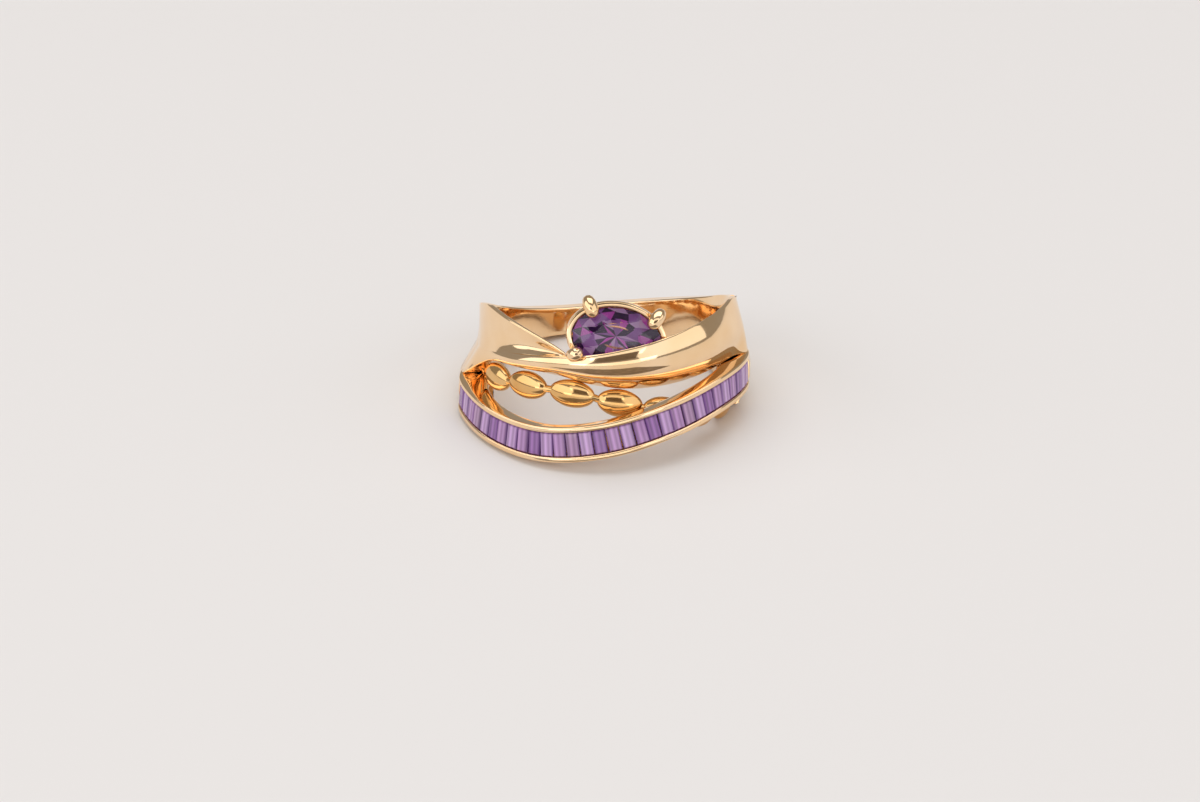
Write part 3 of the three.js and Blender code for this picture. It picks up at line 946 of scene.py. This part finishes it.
class RingSettings(bpy.types.PropertyGroup):
    """Sizes and colours of the ring."""

    edge_round: length_setting(
        "Edge rounding", "Radius of the polished edges of the bands", 0.14 * MM
    )
    rail_round: length_setting("Rail rounding", "Radius of the channel rails' edges", 0.1 * MM)
    bead_length: length_setting("Bead length", "Length of a bead along its wire", 3.32 * MM)
    bead_height: length_setting("Bead height", "Height of a bead across the row", 2.1 * MM)
    bead_thickness: length_setting(
        "Bead thickness", "Thickness of a bead towards the finger", 1.3 * MM
    )
    baguette_width: length_setting(
        "Baguette width", "Width of a baguette along the channel", 0.95 * MM
    )
    polish: bpy.props.FloatProperty(
        name="Polish",
        description="Lowest roughness of the polished gold",
        default=0.05,
        min=0,
        max=1,
        subtype="FACTOR",
    )
    gold_bright: colour_setting("Gold", "Freshly polished gold", "#ffdfb6")
    gold_worn: colour_setting("Gold, handled", "Gold with a little wear", "#f9d3a2")
    # The beads' gold is darker than the band's: painted shade.
    gold_beads_shaded: colour_setting("Gold, beads", "Gold of the beads", "#f0c88c")
    # Darker, more orange gold: painted shade of the recesses, and the dark end of the beads' gold.
    gold_recess_shade: colour_setting("Gold, recess", "Gold in the recesses", "#e6ae68")
    amethyst_clear: colour_setting("Amethyst, clear", "Clearest zones of the oval stone", "#f2e2f6")
    # Pale lilac is a growth zone of the crown and a painted flash of the pavilion; violet, plum and
    # magenta paint the pavilion's internal reflections.
    amethyst_light: colour_setting("Amethyst, pale", "Palest flashes of the oval stone", "#ecd0f2")
    amethyst_mid: colour_setting("Amethyst, violet", "Middle tone of the oval stone", "#b27ac6")
    amethyst_deep: colour_setting("Amethyst, plum", "Darkest facets of the oval stone", "#3e1c50")
    amethyst_flash: colour_setting("Amethyst, flash", "Brightest flashes", "#ee6ce0")
    lavender: colour_setting("Lavender", "Pale baguettes", "#faf0f6")
    violet: colour_setting("Violet", "Mid-toned baguettes", "#ecd9e6")
    plum: colour_setting("Plum", "Dark baguettes", "#c6aacc")
    smoke: colour_setting("Smoke", "Greyish baguettes", "#e6dad8")


class StageSettings(bpy.types.PropertyGroup):
    """The board the ring lies on, the lamps and the camera."""

    board_size: length_setting("Board size", "Side of the square board under the ring", 1.2)
    board_colour: colour_setting("Board", "Paint of the board", "#e8e5e4")
    room_colour: colour_setting("Room", "Light that comes from all round", "#f4efe9")
    room_light: bpy.props.FloatProperty(
        name="Room light", description="Strength of the light from all round", default=0.34, min=0
    )
    # Grey of the cards that paint dark reflections into the gold.
    reflection_card_colour: colour_setting("Card", "Grey of the cards that the gold mirrors", "#8a8078")
    camera_distance: length_setting(
        "Camera distance", "From the camera to the middle of the finger hole", 0.26
    )
    camera_height: bpy.props.FloatProperty(
        name="Camera height",
        description="How far above the horizon the camera stands",
        default=radians(30),
        subtype="ANGLE",
        unit="ROTATION",
    )
    lens: bpy.props.FloatProperty(
        name="Lens", description="Focal length of the camera", default=102.96, min=1, unit="CAMERA"
    )


# ---- operators

# Cards that paint dark reflections into the gold, in metres: how far in front of the ring one
# lies, how high over the board, and how far off the other stands.
CARD_IN_FRONT = 0.024
CARD_LIFT = 0.0002
CARD_AT_CAMERA = 0.3


class RING_OT_stage(bpy.types.Operator):
    """Lay the board, hang the lamps and set up the camera"""

    bl_idname = "cocktail_ring.stage"
    bl_label = "Stage"

    def execute(self, context):
        stage = context.scene.ring_stage
        self.lay_board(stage)
        self.place_reflection_cards(stage)
        self.hang_lamps(context, stage)
        self.place_camera(context, stage)
        return {"FINISHED"}

    def towards_camera(self, stage):
        height = stage.camera_height
        return Vector((0, -cos(height), sin(height)))

    def lay_board(self, stage):
        bm = bmesh.new()
        bmesh.ops.create_grid(bm, x_segments=1, y_segments=1, size=stage.board_size / 2)
        bmesh.ops.translate(bm, vec=(0, 0, CAD_BOX[0].z), verts=bm.verts)
        board = add_object("board", bm, table_top_finish(stage.board_colour))

    def place_reflection_cards(self, stage):
        """Grey cards, mirrored in the gold and unseen otherwise: painted reflections that give it
        its dark zones, the one in front darkening the board's reflection, the other painting the
        camera's.
        """
        back = self.towards_camera(stage)
        lying = Matrix.Translation((0, -CARD_IN_FRONT, CAD_BOX[0].z + CARD_LIFT))
        facing = Matrix.Translation(back * CARD_AT_CAMERA)
        facing = facing @ back.to_track_quat("Z", "Y").to_matrix().to_4x4()
        # Name, where it lies or stands, width and length.
        for name, place, width, length in (
            ("painted_board_reflection_card", lying, 0.026, 0.022), ("painted_camera_reflection_card", facing, 0.22, 0.12)
        ):
            bm = bmesh.new()
            bmesh.ops.create_grid(bm, x_segments=1, y_segments=1, size=0.5)
            bmesh.ops.scale(bm, vec=(width, length, 1), verts=bm.verts)
            bmesh.ops.transform(bm, matrix=place, verts=bm.verts)
            card = add_object(name, bm, reflection_card_finish(stage.reflection_card_colour))
            for ray in ("camera", "diffuse", "transmission", "shadow", "volume_scatter"):
                setattr(card, f"visible_{ray}", False)

    def hang_lamps(self, context, stage):
        world = bpy.data.worlds.new("studio_room")
        world.use_nodes = True
        room = world.node_tree.nodes["Background"]
        room.inputs["Color"].default_value = stage.room_colour
        room.inputs["Strength"].default_value = stage.room_light
        context.scene.world = world
        # Name, where it hangs, width, height and brightness.
        lamps = [
            ("softbox_overhead", (0, 0.12, 0.5), 0.7, 0.5, 1.55),
            ("softbox_front", (0, -0.45, 0.45), 0.6, 0.3, 0.85),
            ("softbox_left", (-0.45, -0.25, 0.24), 0.8, 0.42, 1.1),
            ("softbox_right", (0.45, -0.25, 0.24), 0.8, 0.42, 0.8),
            ("strip_front", (0, -0.6, 0.07), 1.1, 0.13, 1.0),
        ]
        for name, place, width, length, brightness in lamps:
            light = bpy.data.lights.new(name, "AREA")
            light.shape = "RECTANGLE"
            light.size, light.size_y = width, length
            light.energy = brightness * pi * width * length
            lamp = bpy.data.objects.new(name, light)
            lamp.location = place
            lamp.rotation_euler = (-Vector(place)).to_track_quat("-Z", "Y").to_euler()
            context.scene.collection.objects.link(lamp)

    def place_camera(self, context, stage):
        camera = bpy.data.objects.new("camera", bpy.data.cameras.new("camera"))
        camera.data.lens = stage.lens
        camera.data.clip_start = 0.01
        back = self.towards_camera(stage)
        camera.location = PLACEMENT.translation + back * stage.camera_distance
        # The camera looks a little below the finger hole and a trace to its left.
        drop, left = radians(0.918), radians(0.075)
        aim = (-back).to_track_quat("-Z", "Y").to_matrix()
        aim = aim @ Matrix.Rotation(left, 3, "Y") @ Matrix.Rotation(-drop, 3, "X")
        camera.rotation_euler = aim.to_euler()
        context.scene.collection.objects.link(camera)
        context.scene.camera = camera
        context.scene.view_settings.view_transform = "Standard"


class RING_OT_shank(bpy.types.Operator):
    """Build the band round the finger"""

    bl_idname = "cocktail_ring.shank"
    bl_label = "Band"

    def execute(self, context):
        ring = context.scene.cocktail_ring
        at = course(SHANK)
        bm = strand(
            SHANK[0][0],
            SHANK[-1][0],
            steps=200,
            sides=64,
            corner=ring.edge_round / MM,
            size=lambda station: (at(station)[1] - at(station)[0], SHANK_THICKNESS),
            place=lambda station, *spot: shank_point(at, station, *spot),
            end_round=SHANK_END_ROUND,
        )
        add_piece("band", bm, polished_gold(ring), ["shank"])
        return {"FINISHED"}


class RING_OT_ribbon(bpy.types.Operator):
    """Build the ribbon that sweeps across the crown"""

    bl_idname = "cocktail_ring.ribbon"
    bl_label = "Ribbon"

    def execute(self, context):
        ring = context.scene.cocktail_ring
        bm = strand(
            RIBBON[0][0],
            RIBBON[-1][0],
            steps=240,
            sides=64,
            corner=ring.edge_round / MM,
            size=lambda station: band_size(ribbon_at(station)),
            place=lambda station, *spot: band_point(station, ribbon_at(station), *spot),
        )
        add_piece("ribbon", bm, polished_gold(ring), ["ribbon_band"])
        return {"FINISHED"}


class RING_OT_leaf(bpy.types.Operator):
    """Build the hollowed leaf on the left shoulder"""

    bl_idname = "cocktail_ring.leaf"
    bl_label = "Leaf"

    def execute(self, context):
        ring = context.scene.cocktail_ring
        bm = strand(
            LEAF_TOP[0][0],
            LEAF_TOP[-1][0],
            steps=140,
            sides=64,
            corner=ring.edge_round / MM,
            size=lambda station: band_size(leaf_values(station)),
            place=lambda station, *spot: band_point(station, leaf_values(station), *spot),
        )
        add_piece("leaf", bm, polished_gold(ring), ["left_leaf"])
        return {"FINISHED"}


class RING_OT_channel(bpy.types.Operator):
    """Build the two rails and the floor that hold the baguettes"""

    bl_idname = "cocktail_ring.channel"
    bl_label = "Channel"

    def execute(self, context):
        ring = context.scene.cocktail_ring
        corner = ring.rail_round / MM
        middle = (STONE_ROW_WIDTH + RAIL_THICKNESS) / 2
        for side, name in ((1, "upper"), (-1, "lower")):
            bm = channel_strand(
                side * middle,
                RAIL_THICKNESS / 2,
                lambda station, outer, inner: (inner, outer),
                corner,
            )
            node = f"{name}_rail"
            add_piece(f"{name}_channel_rail", bm, polished_gold(ring), [node])
        deep = BAGUETTE_DEPTH + BAGUETTE_RECESS
        first, last = station_of("baguette_01"), station_of(f"baguette_{BAGUETTE_COUNT}")

        def radii(station, outer, inner):
            # The bed rises to a stop beyond the end stones.
            past = max(first - station, station - last)
            depth = float(np.interp(past, STOP_REACH, (deep, STOP_DEPTH)))
            return max(inner, outer - deep - FLOOR_THICKNESS), outer - depth

        bm = channel_strand(0, STONE_ROW_WIDTH / 2, radii, corner / 2)
        # The bed takes the recess gold, darkened as painted shade.
        add_piece("channel_bed", bm, shaded_recess_gold(ring), ["channel_floor"])
        return {"FINISHED"}


class RING_OT_baguettes(bpy.types.Operator):
    """Set the step-cut baguettes in the channel"""

    bl_idname = "cocktail_ring.baguettes"
    bl_label = "Baguettes"

    def execute(self, context):
        ring = context.scene.cocktail_ring
        half_width = ring.baguette_width / MM / 2
        half_length = STONE_ROW_WIDTH / 2 - SEAM
        for i in range(BAGUETTE_COUNT):
            node = f"baguette_{i + 1:02d}"
            station = station_of(node)
            radius = channel_at(station)[1] - BAGUETTE_RECESS
            bm = step_cut(2 * half_width, 2 * half_length)
            # Where the finish lays its stripes of painted reflection and the painted shade of the
            # ends, and the stone's tone.
            cut = bm.verts.layers.float_vector.new("cut")
            middle = STRIPE_MIDDLE + i * GOLDEN_SHARE % 1 * STRIPE_SHIFT
            tone = BAGUETTE_TONES[i % len(BAGUETTE_TONES)]
            for vert in bm.verts:
                across = middle + vert.co.x / half_width / STRIPE_PATTERN
                vert[cut] = (across, abs(vert.co.y) / half_length, tone)
            bmesh.ops.transform(bm, matrix=channel_seat(station, radius), verts=bm.verts)
            finish = baguette_finish(ring)
            add_piece(f"step_{node}", bm, finish, [node], flat=True)
        return {"FINISHED"}


class RING_OT_beads(bpy.types.Operator):
    """Thread the gold beads on their wire"""

    bl_idname = "cocktail_ring.beads"
    bl_label = "Beads"

    def execute(self, context):
        ring = context.scene.cocktail_ring
        stations = [station_of(f"bead_{i + 1}") for i in range(BEAD_COUNT)]
        for i, station in enumerate(stations):
            sizes = ring.bead_length, ring.bead_height, ring.bead_thickness
            bm = oval_bead(*(size / MM for size in sizes))
            bmesh.ops.transform(bm, matrix=bead_seat(station), verts=bm.verts)
            add_piece(f"gold_bead_{i + 1}", bm, shaded_bead_gold(ring), [f"bead_{i + 1}"])
        wire = bead_wire(stations)
        add_piece("gold_wire", wire, shaded_bead_gold(ring), ["bead_wire"])
        return {"FINISHED"}


class RING_OT_centre_stone(bpy.types.Operator):
    """Cut the oval amethyst"""

    bl_idname = "cocktail_ring.centre_stone"
    bl_label = "Oval amethyst"

    def execute(self, context):
        ring = context.scene.cocktail_ring
        bm = oval_brilliant()
        bmesh.ops.transform(bm, matrix=SETTING, verts=bm.verts)
        crown = amethyst_crown_finish(ring)
        stone = add_piece("oval_amethyst", bm, crown, ["centre_stone"], flat=True)
        stone.data.materials.append(amethyst_pavilion_finish(ring))
        return {"FINISHED"}


class RING_OT_basket(bpy.types.Operator):
    """Build the basket: two oval bands and three claws"""

    bl_idname = "cocktail_ring.basket"
    bl_label = "Basket"

    def execute(self, context):
        ring = context.scene.cocktail_ring
        parts = [
            ("basket_rim", oval_band(RIM_SECTION), polished_gold(ring), "gallery_rim"),
            ("basket_foot", oval_band(BASE_SECTION), shaded_recess_gold(ring), "basket_base"),
        ]
        parts += [
            (f"gold_claw_{i + 1}", claw(angle, bow), polished_gold(ring), f"claw_{i + 1}")
            for i, (angle, bow) in enumerate(CLAWS)
        ]
        for name, bm, finish, node in parts:
            bmesh.ops.transform(bm, matrix=SETTING, verts=bm.verts)
            add_piece(name, bm, finish, [node])
        return {"FINISHED"}


OPERATORS = (
    RING_OT_stage,
    RING_OT_shank,
    RING_OT_ribbon,
    RING_OT_leaf,
    RING_OT_channel,
    RING_OT_baguettes,
    RING_OT_beads,
    RING_OT_centre_stone,
    RING_OT_basket,
)


class RING_PT_panel(bpy.types.Panel):
    """Lists the ring's settings and the operators that build it"""

    bl_idname = "RING_PT_panel"
    bl_label = "Cocktail ring"
    bl_space_type = "VIEW_3D"
    bl_region_type = "UI"
    bl_category = "Cocktail ring"

    def draw(self, context):
        for group in (context.scene.cocktail_ring, context.scene.ring_stage):
            box = self.layout.box()
            for name in group.bl_rna.properties.keys():
                if name not in {"rna_type", "name"}:
                    box.prop(group, name)
        for operator in OPERATORS:
            self.layout.operator(operator.bl_idname)


CLASSES = (RingSettings, StageSettings, *OPERATORS, RING_PT_panel)


def register():
    for item in CLASSES:
        bpy.utils.register_class(item)
    bpy.types.Scene.cocktail_ring = bpy.props.PointerProperty(type=RingSettings)
    bpy.types.Scene.ring_stage = bpy.props.PointerProperty(type=StageSettings)


def unregister():
    del bpy.types.Scene.ring_stage
    del bpy.types.Scene.cocktail_ring
    for item in reversed(CLASSES):
        bpy.utils.unregister_class(item)


def main():
    register()
    for operator in OPERATORS:
        group, name = operator.bl_idname.split(".")
        getattr(getattr(bpy.ops, group), name)()


if __name__ == "__main__":
    main()
